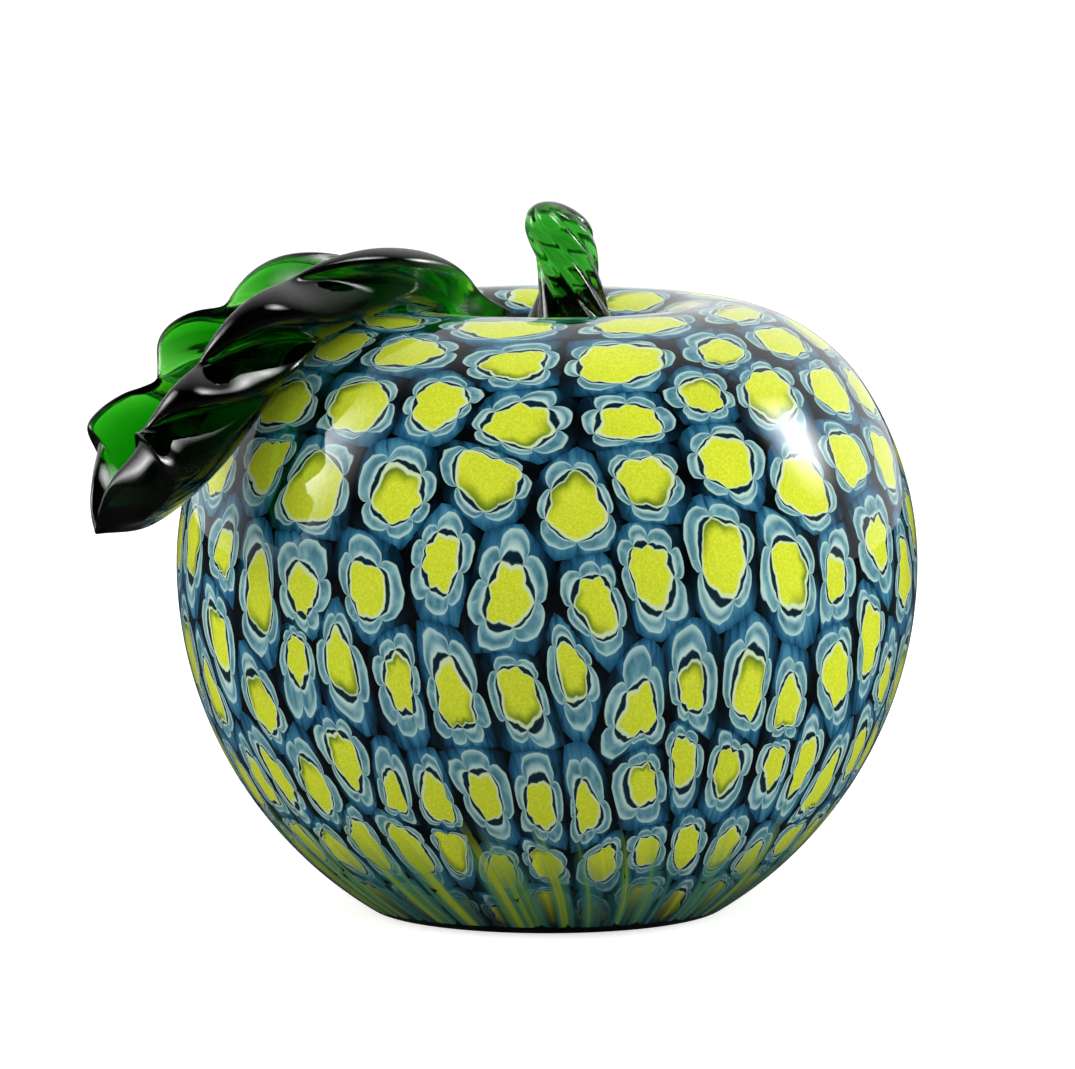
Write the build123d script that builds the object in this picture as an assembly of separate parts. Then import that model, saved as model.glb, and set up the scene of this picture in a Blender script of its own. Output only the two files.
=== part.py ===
from build123d import *
import math
import os

# Art glass apple: a hollow blown bubble, ten rows of murrine laid on it, a clear casing
# over them, and a twisted stem and a folded leaf set hot in the dimple.
# Millimetres and degrees. +Z is up from the polished base, -Y is the front, the leaf runs to -X.

# Body form
body_diameter = 115.0
equator_height = 54.0
rim_height = 94.7
rim_diameter = 50.0
shoulder_radius = 50.5
belly_radius = 63.0
lip_radius = 13.0
dimple_depth = 9.0
base_edge_radius = 3.0
pontil_diameter = 22.0
pontil_depth = 1.2

# Glass layers, from the outside in
casing_wall = 1.4
murrine_depth = 3.0
ground_wall = 3.6
blow_hole_diameter = 8.0

# Murrine rows, from the lip of the dimple to the foot: share of the mosaic band, and pitch around the girth
row_shares = [9.0, 10.0, 10.5, 10.0, 13.0, 16.5, 17.5, 16.5, 13.0, 10.0]
row_pitches = [16.0, 22.0, 16.0, 14.0, 13.4, 11.0, 9.0, 7.4, 7.0, 6.6]
foot_margin = 1.5
slice_thickness = 1.6
slice_share = 0.9
slice_scallop = 0.9
core_share = 0.6
core_waist = 0.84
petals = 6
seam = 0.05

# Stem
stem_height = 24.6
stem_diameter = 8.0
stem_foot_diameter = 19.0
stem_head_diameter = 10.0
stem_offset = 2.6
stem_bow = 1.4
stem_lean = 2.4
stem_twist = 150.0
stem_flutes = 4
flute_depth = 0.35
plug_length = 7.0
plug_clearance = 0.15

# Leaf: a fold of two wings on a keel. Veins are pressed into the wings at distances along the keel,
# and the glass between two veins swells into a lobe
leaf_bearing = 30.0
leaf_base_wing = 7.0
leaf_full_wing = 18.6
leaf_growth = 0.62
leaf_keel = 5.6
vein_run = 19.5
vein_bend = 0.43
leaf_sections = 42
near_wing = {"side": 1, "lean": 20.0, "web": 2.8, "swell": 4.4, "wave": 1.0, "notch": 0.10}
near_wing["veins"] = [16.5, 33.7, 51.3, 66.8]
far_wing = {"side": -1, "lean": 34.0, "web": 2.0, "swell": 1.0, "wave": 1.8, "notch": 0.17}
far_wing["veins"] = [9.0, 23.4, 39.6, 53.1]


# Meridian of the body

body_radius = body_diameter / 2
rim_radius = rim_diameter / 2
dimple_height = rim_height - dimple_depth

shoulder_centre = (body_radius - shoulder_radius, equator_height)
belly_centre = (body_radius - belly_radius, equator_height)
rim_inset = rim_radius - shoulder_centre[0]
rim_rise = rim_height - equator_height
rim_arc = (shoulder_radius**2 - rim_inset**2 - rim_rise**2) / (2 * (shoulder_radius - rim_rise))
rim_centre = (rim_radius, rim_height - rim_arc)
rim_join = math.degrees(
    math.atan2(rim_centre[1] - shoulder_centre[1], rim_centre[0] - shoulder_centre[0])
)
lip_centre = (rim_radius, rim_height - lip_radius)
lip_drop = lip_radius - dimple_depth
bowl_radius = (rim_radius**2 + lip_drop**2 - lip_radius**2) / (2 * dimple_depth)
bowl_centre = (0.0, dimple_height + bowl_radius)
lip_join = math.degrees(math.atan2(bowl_centre[1] - lip_centre[1], -lip_centre[0]))


def foot_angle(depth):
    """Bearing on the belly arc at which a layer meets its own flat floor."""
    return -math.degrees(math.asin((equator_height - depth) / (belly_radius - depth)))


def arc(centre, radius, start, stop):
    """An arc of the half section from one bearing to another."""
    return CenterArc(centre, radius, start, stop - start)


def layer_section(depth):
    """Half section of the body at a depth below its outer surface."""
    lines = [
        arc(bowl_centre, bowl_radius + depth, -90, lip_join - 180),
        arc(lip_centre, lip_radius - depth, lip_join, 90),
        arc(rim_centre, rim_arc - depth, 90, rim_join),
        arc(shoulder_centre, shoulder_radius - depth, rim_join, 0),
        arc(belly_centre, belly_radius - depth, 0, foot_angle(depth)),
    ]
    foot = lines[-1] @ 1
    lines.append(Line(foot, (0, foot.Y)))
    lines.append(Line((0, foot.Y), lines[0] @ 0))
    return make_face(lines)


# The band of the meridian that carries murrine: arcs as centre, radius, start and stop bearing
foot_stop = foot_angle(casing_wall) + math.degrees(foot_margin / belly_radius)
band = [
    (lip_centre, lip_radius, lip_join, 90.0),
    (rim_centre, rim_arc, 90.0, rim_join),
    (shoulder_centre, shoulder_radius, rim_join, 0.0),
    (belly_centre, belly_radius, 0.0, foot_stop),
]
band_lengths = [radius * math.radians(start - stop) for _, radius, start, stop in band]
band_length = sum(band_lengths)


def on_band(distance, depth):
    """Point and outward bearing on the band, by distance from its start at the dimple."""
    for (centre, radius, start, stop), length in zip(band, band_lengths):
        if distance <= length + 1e-9:
            break
        distance -= length
    bearing = start + (stop - start) * min(distance / length, 1.0)
    reach = radius - depth
    point = (
        centre[0] + reach * math.cos(math.radians(bearing)),
        centre[1] + reach * math.sin(math.radians(bearing)),
    )
    return point, bearing


def band_arcs(top, bottom, depth):
    """Arcs of the band between two distances from its start."""
    arcs = []
    passed = 0.0
    for (centre, radius, start, stop), length in zip(band, band_lengths):
        first = max(top - passed, 0.0) / length
        last = min(bottom - passed, length) / length
        if last - first > 1e-6:
            turn = stop - start
            arcs.append(arc(centre, radius - depth, start + turn * first, start + turn * last))
        passed += length
    return arcs


def band_section(top, bottom, skin, floor):
    """Half section of the band between two distances from its start and two depths."""
    outer = band_arcs(top, bottom, skin)
    inner = band_arcs(top, bottom, floor)
    caps = [Line(outer[0] @ 0, inner[0] @ 0), Line(outer[-1] @ 1, inner[-1] @ 1)]
    return make_face(outer + inner + caps)


def turned(section):
    """The solid of a half section turned about the axis of the apple."""
    return revolve(Plane.XZ * section, Axis.Z)


# Body layers

outer_section = layer_section(0)
foot_corner = outer_section.vertices().filter_by(lambda v: v.X > 1).sort_by(Axis.Y)[0]
outer_section = fillet(foot_corner, base_edge_radius)
core_section = layer_section(casing_wall)
hollow_section = layer_section(casing_wall + murrine_depth + ground_wall)

apple = turned(outer_section)
pontil_radius = (pontil_diameter**2 / 4 + pontil_depth**2) / (2 * pontil_depth)
pontil = Pos(0, 0, pontil_depth - pontil_radius) * Sphere(pontil_radius)
blow_hole = Pos(0, 0, rim_height - dimple_depth) * Cylinder(blow_hole_diameter / 2, 4 * plug_length)

clear_casing = turned(outer_section - core_section) - pontil - blow_hole
band_floor = casing_wall + murrine_depth
recess = band_section(0, band_length, casing_wall / 2, band_floor)
ground_bubble = turned(core_section - hollow_section - recess) - blow_hole


# Murrine: each slice of cane is a mantle block with a flat-floored pocket, and a petal collar
# and a core in it. One slice is cut for each row and set around the girth.

def rosette(width, height, waist):
    """Outline of a cane: arcs between waist points set on an ellipse."""
    step = 360.0 / petals

    def spot(turn, share):
        return (
            share * width / 2 * math.sin(math.radians(turn)),
            share * height / 2 * math.cos(math.radians(turn)),
        )

    arcs = [
        ThreePointArc(
            spot(step * (k - 0.5), waist),
            spot(step * k, 1.0),
            spot(step * (k + 0.5), waist),
        )
        for k in range(petals)
    ]
    return make_face(arcs)


def murrine_row(top, bottom, pitch, first_turn):
    """Mantles, petal collars and cores of one row. The slices are flat and lie just under its skin."""
    skin = casing_wall + seam
    middle = (top + bottom) / 2
    half_tall = slice_share * (bottom - top) / 2
    (girth_radius, height), bearing = on_band(middle, skin)
    count = max(3, round(2 * math.pi * girth_radius / pitch))
    sector = 360.0 / count
    half_width = slice_share * math.pi * girth_radius / count
    slant = math.radians(bearing)
    outward = (math.cos(slant), math.sin(slant))
    drops = [girth_radius * (1 - math.cos(math.radians(slice_share * sector / 2))) * outward[0]]
    for end in (middle - half_tall, middle + half_tall):
        (end_radius, end_height), _ = on_band(end, skin)
        drops.append((girth_radius - end_radius) * outward[0] + (height - end_height) * outward[1])
    sunk = max(drops) + seam + slice_thickness
    floor = Plane(
        origin=(girth_radius - sunk * outward[0], 0, height - sunk * outward[1]),
        x_dir=(0, 1, 0),
        z_dir=(outward[0], 0, outward[1]),
    )

    def rod(share, waist, gap, length):
        outline = rosette(2 * (share * half_width + gap), 2 * (share * half_tall + gap), waist)
        return extrude(floor * outline, length)

    block = revolve(Plane.XZ * band_section(top, bottom, skin, band_floor), Axis.Z, sector)
    block = Rot(0, 0, -sector / 2) * block
    pieces = [
        block - rod(1.0, slice_scallop, seam, 2 * sunk),
        rod(1.0, slice_scallop, 0, slice_thickness) - rod(core_share, core_waist, seam, 2 * sunk),
        rod(core_share, core_waist, 0, slice_thickness),
    ]
    turns = [sector * (k + first_turn) for k in range(count)]
    return [Compound([Rot(0, 0, turn) * piece.solids()[0] for turn in turns]) for piece in pieces]


rows = []
row_top = 0.0
for index, (share, pitch) in enumerate(zip(row_shares, row_pitches)):
    row_bottom = row_top + band_length * share / sum(row_shares)
    rows.append(murrine_row(row_top, row_bottom, pitch, 0.5 * (index % 2)))
    row_top = row_bottom


# Stem: a twisted fluted rod that spreads into a foot and ends in a round head

def stem_radius(t):
    """Radius of the stem at a share of its height."""
    waist = stem_diameter / 2
    foot = (stem_foot_diameter / 2 - waist) * math.exp(-((t / 0.27) ** 1.5))
    head = (stem_head_diameter / 2 - waist) * math.exp(-(((t - 0.84) / 0.2) ** 2))
    crown = math.sqrt(max(1.0 - (max(t - 0.78, 0.0) / 0.225) ** 3, 0.0))
    return (waist + foot + head) * crown


def stem_section(t):
    """Face across the stem at a share of its height."""
    bow = stem_offset + stem_bow * math.sin(math.pi * t) - stem_lean * t**2.5
    points = []
    spots = 6 * stem_flutes
    for k in range(spots):
        turn = 2 * math.pi * k / spots
        flute = math.cos(stem_flutes * (turn - math.radians(stem_twist) * t))
        reach = stem_radius(t) * (1.0 + 2 * flute_depth / stem_diameter * flute)
        points.append((reach * math.cos(turn), reach * math.sin(turn)))
    plane = Plane.XY.offset(dimple_height - 1.0 + (stem_height + 1.0) * t)
    return plane * Pos(bow, 0) * make_face(Spline(*points, periodic=True))


stem_steps = [0.0, 0.06, 0.12, 0.19, 0.27, 0.36, 0.46, 0.56, 0.66, 0.75, 0.83, 0.9, 0.95, 0.98, 1.0]
stem_rod = loft([stem_section(t) for t in stem_steps])
plug = Pos(0, 0, dimple_height - plug_length / 2 + 1.0) * Cylinder(
    blow_hole_diameter / 2 - plug_clearance, plug_length + 2.0
)
stem = (stem_rod - apple) + (plug - (apple - blow_hole))


# Leaf: its keel rises from the dimple, lies on the shoulder and lifts to the tip

keel_points = [
    (8.5, 87.9),
    (16.0, 91.2),
    (22.5, 93.9),
    (30.0, 93.8),
    (38.0, 91.1),
    (46.0, 85.0),
    (52.0, 78.2),
    (57.2, 72.3),
    (63.4, 67.3),
    (70.8, 63.6),
    (77.6, 63.2),
]
keel = Spline(*[(-reach, height) for reach, height in keel_points])


def wing_length(t):
    """Height of a wing above the keel at a share of the leaf's length."""
    grown = min(t / leaf_growth, 1.0)
    plain = leaf_base_wing + (leaf_full_wing - leaf_base_wing) * grown**2 * (3 - 2 * grown)
    return max(plain * math.sqrt(max(1.0 - t**9, 0.0)), 1.2)


def lobe(t, climb, veins):
    """How far a spot lies up its lobe: 0 on a vein, 1 midway between two veins."""
    run = t * keel.length + vein_run * (1.0 - climb) ** vein_bend
    stops = [veins[0] - 2 * vein_run, *veins, keel.length + 2 * vein_run]
    low, high = [(a, b) for a, b in zip(stops, stops[1:]) if a <= run][-1]
    return 1.0 - abs(2.0 * (run - low) / (high - low) - 1.0) ** 2.4


def wing_spots(t, wing, outer_climbs, inner_climbs):
    """Spots up the outer face of a wing, over its edge and down its inner face."""
    height = wing_length(t) * (1.0 - wing["notch"] * (1.0 - lobe(t, 1.0, wing["veins"])))
    heel = min(leaf_keel / 2, 0.2 * height)
    web = min(wing["web"] / 2, 0.1 * height)
    lean = math.radians(wing["lean"])
    spots = [(wing["side"] * 0.7 * heel, 0.3 * heel)]
    for climb, face in [(c, 1) for c in outer_climbs] + [(1.0, 0)] + [(c, -1) for c in inner_climbs]:
        swell = lobe(t, climb, wing["veins"]) * min(climb / 0.3, 1.0) * min(1.0, height / 13.0)
        outer = web + (heel - web) * (1.0 - climb) ** 2 + wing["swell"] * swell
        half = outer if face > 0 else -web
        out = half * (1.0 - climb**2) ** 0.275 + wing["wave"] * swell * climb
        rise = climb * (height - heel)
        across = rise * math.sin(lean) + out * math.cos(lean)
        spots.append((wing["side"] * across, heel + rise * math.cos(lean) - out * math.sin(lean)))
    return spots, heel


def leaf_outlines(t):
    """Spots round the near and the far half of the leaf's section, from the bottom to the crotch."""
    near, heel = wing_spots(t, near_wing, [0.2, 0.4, 0.6, 0.78, 0.92], [0.92, 0.75, 0.55])
    far, far_heel = wing_spots(t, far_wing, [0.2, 0.4, 0.6, 0.78, 0.92], [0.92, 0.75, 0.55])
    bottom = (0.0, 0.0)
    crotch = (0.0, heel + far_heel)
    return [bottom, *near, crotch], [crotch, *reversed(far), bottom]


def outline_stops(spots):
    """Shares of an outline's length at its spots."""
    steps = [math.dist(a, b) for a, b in zip(spots, spots[1:])]
    return [sum(steps[:k]) / sum(steps) for k in range(len(spots))]


half_stops = [outline_stops(spots) for spots in leaf_outlines(0.6)]


def leaf_section(t):
    """Face across the folded leaf at a share of its length."""
    spot = keel @ t
    along = keel % t
    plane = Plane(
        origin=(spot.X, 0, spot.Y),
        x_dir=(0, -1, 0),
        z_dir=(along.X, 0, along.Y),
    )
    halves = [
        Edge.make_spline(spots, parameters=stops)
        for spots, stops in zip(leaf_outlines(t), half_stops)
    ]
    return plane * make_face(halves)


leaf_steps = [1.0 - (1.0 - k / (leaf_sections - 1)) ** 1.3 for k in range(leaf_sections)]
leaf_blade = loft([leaf_section(t) for t in leaf_steps])
leaf = Rot(0, 0, leaf_bearing) * leaf_blade - apple - stem


# Export

os.makedirs("parts", exist_ok=True)
nodes = {
    "clear_casing": clear_casing,
    "ground_bubble": ground_bubble,
    "stem": stem,
    "leaf": leaf,
}
for index, row in enumerate(rows, start=1):
    for name, shape in zip(("mantles", "petals", "cores"), row):
        nodes[f"{name}_row_{index}"] = shape

for name, shape in nodes.items():
    export_step(shape, f"parts/{name}.step")
    print(name, len(shape.solids()), "solids", round(shape.volume / 1000, 2), "cm3")
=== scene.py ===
# %% [markdown]
# # An art glass apple, dressed around its CAD model
#
# The real object is a hand-made paperweight: a dark glass bubble rolled over slices of patterned cane,
# cased in clear glass, pushed in at the top like an apple, and finished with a green glass stem and leaf.
# The CAD model gives every piece its place. This lesson gives each piece its look.

# %% Load the frame
import math

import bmesh
import bpy
import numpy as np
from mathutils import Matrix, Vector


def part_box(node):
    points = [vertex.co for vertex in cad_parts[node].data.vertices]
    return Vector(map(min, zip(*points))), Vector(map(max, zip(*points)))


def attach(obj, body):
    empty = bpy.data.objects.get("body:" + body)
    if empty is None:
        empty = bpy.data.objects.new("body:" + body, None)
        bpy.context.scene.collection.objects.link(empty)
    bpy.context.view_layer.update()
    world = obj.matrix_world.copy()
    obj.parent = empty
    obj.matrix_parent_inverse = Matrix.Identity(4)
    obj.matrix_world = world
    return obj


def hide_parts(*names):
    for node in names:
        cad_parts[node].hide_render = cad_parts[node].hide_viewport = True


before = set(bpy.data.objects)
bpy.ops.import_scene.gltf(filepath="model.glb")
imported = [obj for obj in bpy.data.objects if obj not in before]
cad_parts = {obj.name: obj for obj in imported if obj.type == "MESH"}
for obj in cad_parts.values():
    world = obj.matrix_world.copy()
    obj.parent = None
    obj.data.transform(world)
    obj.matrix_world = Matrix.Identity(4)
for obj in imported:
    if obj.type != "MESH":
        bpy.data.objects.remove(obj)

MM = 0.001
MERGE_DISTANCE = 1e-6
scene = bpy.context.scene
scene.view_settings.view_transform = "Standard"
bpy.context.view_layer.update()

# %% [markdown]
# ## Two helpers
#
# Colours are written as sRGB hex values, the way a paint chart or a picture editor gives them. Cycles
# works in linear light, so one function converts them. A second function adds any node to any node
# tree. It keeps each tree readable as a list of nodes with their settings and links.

# %% Colours and nodes
def linear(hex_colour):
    """An sRGB hex colour as linear red, green, blue and alpha."""
    shares = [int(hex_colour[i:i + 2], 16) / 255 for i in (1, 3, 5)]
    return [c / 12.92 if c <= 0.04045 else ((c + 0.055) / 1.055) ** 2.4 for c in shares] + [1.0]


def add(tree, kind, settings=(), inputs=(), stops=()):
    """Adds a node, sets its properties, fills or links its inputs, and sets the stops of a colour ramp."""
    node = tree.nodes.new(kind)
    for name, value in dict(settings).items():
        setattr(node, name, value)
    if stops:
        node.color_ramp.elements.remove(node.color_ramp.elements[1])
        node.color_ramp.elements[0].position = stops[0][0]
        node.color_ramp.elements[0].color = linear(stops[0][1])
    for position, colour in stops[1:]:
        node.color_ramp.elements.new(position).color = linear(colour)
    for key, value in dict(inputs).items():
        if isinstance(value, bpy.types.NodeSocket):
            tree.links.new(value, node.inputs[key])
        else:
            node.inputs[key].default_value = value
    return node


print("mid grey #808080 in linear light:", round(linear("#808080")[0], 3))


# %% Empty materials and plain meshes
def new_material(name):
    """An empty node material and its tree."""
    material = bpy.data.materials.new(name)
    material.use_nodes = True
    material.node_tree.nodes.clear()
    return material, material.node_tree


def new_piece(name, points, faces):
    """A mesh object from points in metres and faces."""
    mesh = bpy.data.meshes.new(name)
    mesh.from_pydata([tuple(point) for point in points], [], faces)
    piece = bpy.data.objects.new(name, mesh)
    scene.collection.objects.link(piece)
    return piece


# %% [markdown]
# ## Camera
#
# The photograph was taken from a little above the apple's equator with a long lens, so the apple is
# hardly foreshortened. The lens follows from the width of the picture at the apple, which is worked out
# from the diameter of the body in the frame and its width in the picture.

# %% Place the camera
IMAGE_WIDTH = 1075
IMAGE_HEIGHT = 1069
BODY_WIDTH_PIXELS = 741
AXIS_PIXEL = 547
FLOOR_PIXEL = 908
CAMERA_DISTANCE = 1.6
CAMERA_ELEVATION = math.radians(7.0)
SENSOR_WIDTH = 36.0

_, casing_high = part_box("clear_casing")
body_radius = casing_high.x / MM
rim_height = casing_high.z / MM
pixel = 2 * body_radius * MM / BODY_WIDTH_PIXELS
camera_target = np.array([
    (IMAGE_WIDTH / 2 - AXIS_PIXEL) * pixel,
    0.0,
    (FLOOR_PIXEL - IMAGE_HEIGHT / 2) * pixel / math.cos(CAMERA_ELEVATION),
])
camera_back = np.array([0.0, -math.cos(CAMERA_ELEVATION), math.sin(CAMERA_ELEVATION)])

camera_data = bpy.data.cameras.new("camera")
camera_data.sensor_width = SENSOR_WIDTH
camera_data.lens = SENSOR_WIDTH * CAMERA_DISTANCE / (IMAGE_WIDTH * pixel)
camera = bpy.data.objects.new("camera", camera_data)
camera.location = camera_target + camera_back * CAMERA_DISTANCE
camera.rotation_euler = (math.pi / 2 - CAMERA_ELEVATION, 0.0, 0.0)
scene.collection.objects.link(camera)
scene.camera = camera
print("lens", round(camera_data.lens), "mm")

# %% [markdown]
# ## The meridian of the body
#
# An apple blown and turned on a pipe is round about its axis, so one line in a half section gives every
# layer of it. The line is five arcs: the bowl of the dimple, its lip, the rim, the shoulder and the
# belly. A layer of glass lies at a depth below the skin, which makes each arc smaller or larger.

# %% Arcs of the meridian
EQUATOR_HEIGHT = 54.0
RIM_RADIUS = 25.0
SHOULDER_RADIUS = 50.5
BELLY_RADIUS = 63.0
LIP_RADIUS = 13.0
DIMPLE_DEPTH = 9.0
BASE_EDGE_RADIUS = 3.0
PONTIL_RADIUS = 11.0
PONTIL_DEPTH = 1.2
CASING_WALL = 1.4
LINE_STEP = 1.0
FLOOR_POINTS = 12
FOOT_POINTS = 9

shoulder_centre = (body_radius - SHOULDER_RADIUS, EQUATOR_HEIGHT)
belly_centre = (body_radius - BELLY_RADIUS, EQUATOR_HEIGHT)
rim_inset = RIM_RADIUS - shoulder_centre[0]
rim_rise = rim_height - EQUATOR_HEIGHT
rim_arc = (SHOULDER_RADIUS**2 - rim_inset**2 - rim_rise**2) / (2 * (SHOULDER_RADIUS - rim_rise))
rim_centre = (RIM_RADIUS, rim_height - rim_arc)
rim_join = math.degrees(math.atan2(rim_centre[1] - EQUATOR_HEIGHT, RIM_RADIUS - shoulder_centre[0]))
lip_centre = (RIM_RADIUS, rim_height - LIP_RADIUS)
lip_drop = LIP_RADIUS - DIMPLE_DEPTH
bowl_radius = (RIM_RADIUS**2 + lip_drop**2 - LIP_RADIUS**2) / (2 * DIMPLE_DEPTH)
bowl_centre = (0.0, rim_height - DIMPLE_DEPTH + bowl_radius)
lip_join = math.degrees(math.atan2(bowl_centre[1] - lip_centre[1], -RIM_RADIUS))
print("radius of the rim's arc:", round(rim_arc, 1), "mm, of the bowl:", round(bowl_radius, 1), "mm")


# %% Lines of the layers
def arc_points(centre, radius, start, stop):
    """Points on an arc of the half section, in millimetres, at most one step apart."""
    length = radius * math.radians(abs(stop - start))
    count = max(6, math.ceil(length / LINE_STEP))
    bearing = np.radians(np.linspace(start, stop, count + 1))
    return np.column_stack([centre[0] + radius * np.cos(bearing), centre[1] + radius * np.sin(bearing)])


def meridian(depth, belly_stop):
    """The half section of a layer, from the axis in the dimple to a bearing on the belly."""
    arcs = [
        arc_points(bowl_centre, bowl_radius + depth, -90, lip_join - 180),
        arc_points(lip_centre, LIP_RADIUS - depth, lip_join, 90),
        arc_points(rim_centre, rim_arc - depth, 90, rim_join),
        arc_points(shoulder_centre, SHOULDER_RADIUS - depth, rim_join, 0),
        arc_points(belly_centre, BELLY_RADIUS - depth, 0, belly_stop),
    ]
    return np.vstack([arcs[0]] + [arc[1:] for arc in arcs[1:]])


def layer_line(depth):
    """A closed half section at a depth, with a flat floor at that depth."""
    belly_stop = -math.degrees(math.asin((EQUATOR_HEIGHT - depth) / (BELLY_RADIUS - depth)))
    line = meridian(depth, belly_stop)
    floor_radii = np.linspace(line[-1, 0], 0.0, FLOOR_POINTS)[1:]
    floor = np.column_stack([floor_radii, np.full(len(floor_radii), line[-1, 1])])
    return np.vstack([line, floor])


# %% Line of the outer skin
def skin_line():
    """The outer half section: rounded foot edge, flat foot and the ground pontil dish."""
    edge_radius = belly_centre[0] + math.sqrt(
        (BELLY_RADIUS - BASE_EDGE_RADIUS) ** 2 - (EQUATOR_HEIGHT - BASE_EDGE_RADIUS) ** 2
    )
    edge_centre = (edge_radius, BASE_EDGE_RADIUS)
    edge_join = math.degrees(math.atan2(BASE_EDGE_RADIUS - EQUATOR_HEIGHT, edge_radius - belly_centre[0]))
    dish_radius = (PONTIL_RADIUS**2 + PONTIL_DEPTH**2) / (2 * PONTIL_DEPTH)
    dish_reach = math.degrees(math.asin(PONTIL_RADIUS / dish_radius))
    foot_radii = np.linspace(edge_radius, PONTIL_RADIUS, FOOT_POINTS)[1:]
    parts = [
        meridian(0.0, edge_join),
        arc_points(edge_centre, BASE_EDGE_RADIUS, edge_join, -90)[1:],
        np.column_stack([foot_radii, np.zeros(len(foot_radii))]),
        arc_points((0.0, PONTIL_DEPTH - dish_radius), dish_radius, 90 - dish_reach, 90)[1:],
    ]
    return np.vstack(parts)


def line_shares(line):
    """Distance of each point along a line, as a share of its length, and the length."""
    steps = np.linalg.norm(np.diff(line, axis=0), axis=1)
    distance = np.concatenate([[0.0], np.cumsum(steps)])
    return distance / distance[-1], distance[-1]


print("skin line", len(skin_line()), "points,", round(line_shares(skin_line())[1], 1), "mm")

# %% [markdown]
# ## One node tree that wraps a flat plan round the apple
#
# Every layer of the body follows the same surface. A flat plan is easy to draw: its x is a share of a
# full turn and its y is a share of the meridian's length. Geometry Nodes then samples the meridian at y
# and turns the point about the axis by x. The casing, the dark ground and the rows of murrine all go
# through this tree, so they fit each other like the layers of the real glass.

# %% Build the wrapping tree
wrap_tree = bpy.data.node_groups.new("wrap_round_apple", "GeometryNodeTree")
for label, kind in (("Plan", "Geometry"), ("Meridian", "Object"), ("Finish", "Material")):
    wrap_tree.interface.new_socket(label, in_out="INPUT", socket_type="NodeSocket" + kind)
wrap_tree.interface.new_socket("Layer", in_out="OUTPUT", socket_type="NodeSocketGeometry")
wrap_sockets = {item.name: item.identifier for item in wrap_tree.interface.items_tree}

plan_in = add(wrap_tree, "NodeGroupInput")
spot = add(wrap_tree, "GeometryNodeInputPosition")
place = add(wrap_tree, "ShaderNodeSeparateXYZ", {}, {0: spot.outputs[0]})
line_in = add(wrap_tree, "GeometryNodeObjectInfo", {}, {"Object": plan_in.outputs["Meridian"]})
sample = add(
    wrap_tree, "GeometryNodeSampleCurve", {"mode": "FACTOR", "use_all_curves": True},
    {"Curves": line_in.outputs["Geometry"], "Factor": place.outputs["Y"]},
)
angle = add(wrap_tree, "ShaderNodeMath", {"operation": "MULTIPLY"}, {0: place.outputs["X"], 1: 2 * math.pi})
turned = add(
    wrap_tree, "ShaderNodeVectorRotate", {"rotation_type": "Z_AXIS"},
    {"Vector": sample.outputs["Position"], "Angle": angle.outputs[0]},
)
moved = add(
    wrap_tree, "GeometryNodeSetPosition", {},
    {"Geometry": plan_in.outputs["Plan"], "Position": turned.outputs[0]},
)
real = add(wrap_tree, "GeometryNodeRealizeInstances", {}, {0: moved.outputs[0]})
smooth = add(wrap_tree, "GeometryNodeSetShadeSmooth", {}, {0: real.outputs[0]})
finished = add(
    wrap_tree, "GeometryNodeSetMaterial", {},
    {"Geometry": smooth.outputs[0], "Material": plan_in.outputs["Finish"]},
)
add(wrap_tree, "NodeGroupOutput", {}, {0: finished.outputs[0]})
print("wrapping tree:", len(wrap_tree.nodes), "nodes")


# %% Wrap a plan and bake it to a plain mesh
def meridian_curve(name, line):
    """A half section as a curve object, in metres, for the wrapping tree to sample."""
    curve = bpy.data.curves.new(name, "CURVE")
    curve.dimensions = "3D"
    spline = curve.splines.new("POLY")
    spline.points.add(len(line) - 1)
    for point, (radius, height) in zip(spline.points, line):
        point.co = (radius * MM, 0.0, height * MM, 1.0)
    guide = bpy.data.objects.new(name, curve)
    scene.collection.objects.link(guide)
    return guide


def baked(carrier, name):
    """The evaluated geometry of an object as a plain new piece, with the carrier removed."""
    depsgraph = bpy.context.evaluated_depsgraph_get()
    mesh = bpy.data.meshes.new_from_object(carrier.evaluated_get(depsgraph))
    bpy.data.objects.remove(carrier)
    mesh.name = name
    piece = bpy.data.objects.new(name, mesh)
    scene.collection.objects.link(piece)
    return piece


def wrap(plan, guide, finish):
    """Wraps a plan object round the apple and returns the baked piece."""
    name = plan.name
    plan.name = name + "_plan"
    modifier = plan.modifiers.new("wrap", "NODES")
    modifier.node_group = wrap_tree
    modifier[wrap_sockets["Meridian"]] = guide
    modifier[wrap_sockets["Finish"]] = finish
    return baked(plan, name)


# %% A whole layer of the body
def turned_layer(name, line, turn_steps, finish):
    """A whole layer of the body, wrapped from a plain grid, with its seam and poles closed."""
    shares, _ = line_shares(line)
    rows = len(shares)
    points = [(k / turn_steps, share, 0.0) for share in shares for k in range(turn_steps + 1)]
    wide = turn_steps + 1
    faces = [
        ((j + 1) * wide + k, (j + 1) * wide + k + 1, j * wide + k + 1, j * wide + k)
        for j in range(rows - 1) for k in range(turn_steps)
    ]
    guide = meridian_curve(name + "_line", line)
    piece = wrap(new_piece(name, points, faces), guide, finish)
    bpy.data.objects.remove(guide)
    shell = bmesh.new()
    shell.from_mesh(piece.data)
    bmesh.ops.remove_doubles(shell, verts=shell.verts, dist=MERGE_DISTANCE)
    shell.to_mesh(piece.data)
    shell.free()
    return piece


# %% [markdown]
# ## Clear casing glass
#
# The outermost layer is a gather of clear soda-lime glass over the pattern, fire-polished, so it is
# smooth and wet-looking with a very slight waviness from the hot shaping. It could be left out and
# painted as a coat on the pattern, but then the pattern would not sit below the surface. Here it is real
# glass with an index of 1.5. Lamps shine through it on their way to the pattern: for shadow rays the
# shader is plain transparent.

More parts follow.
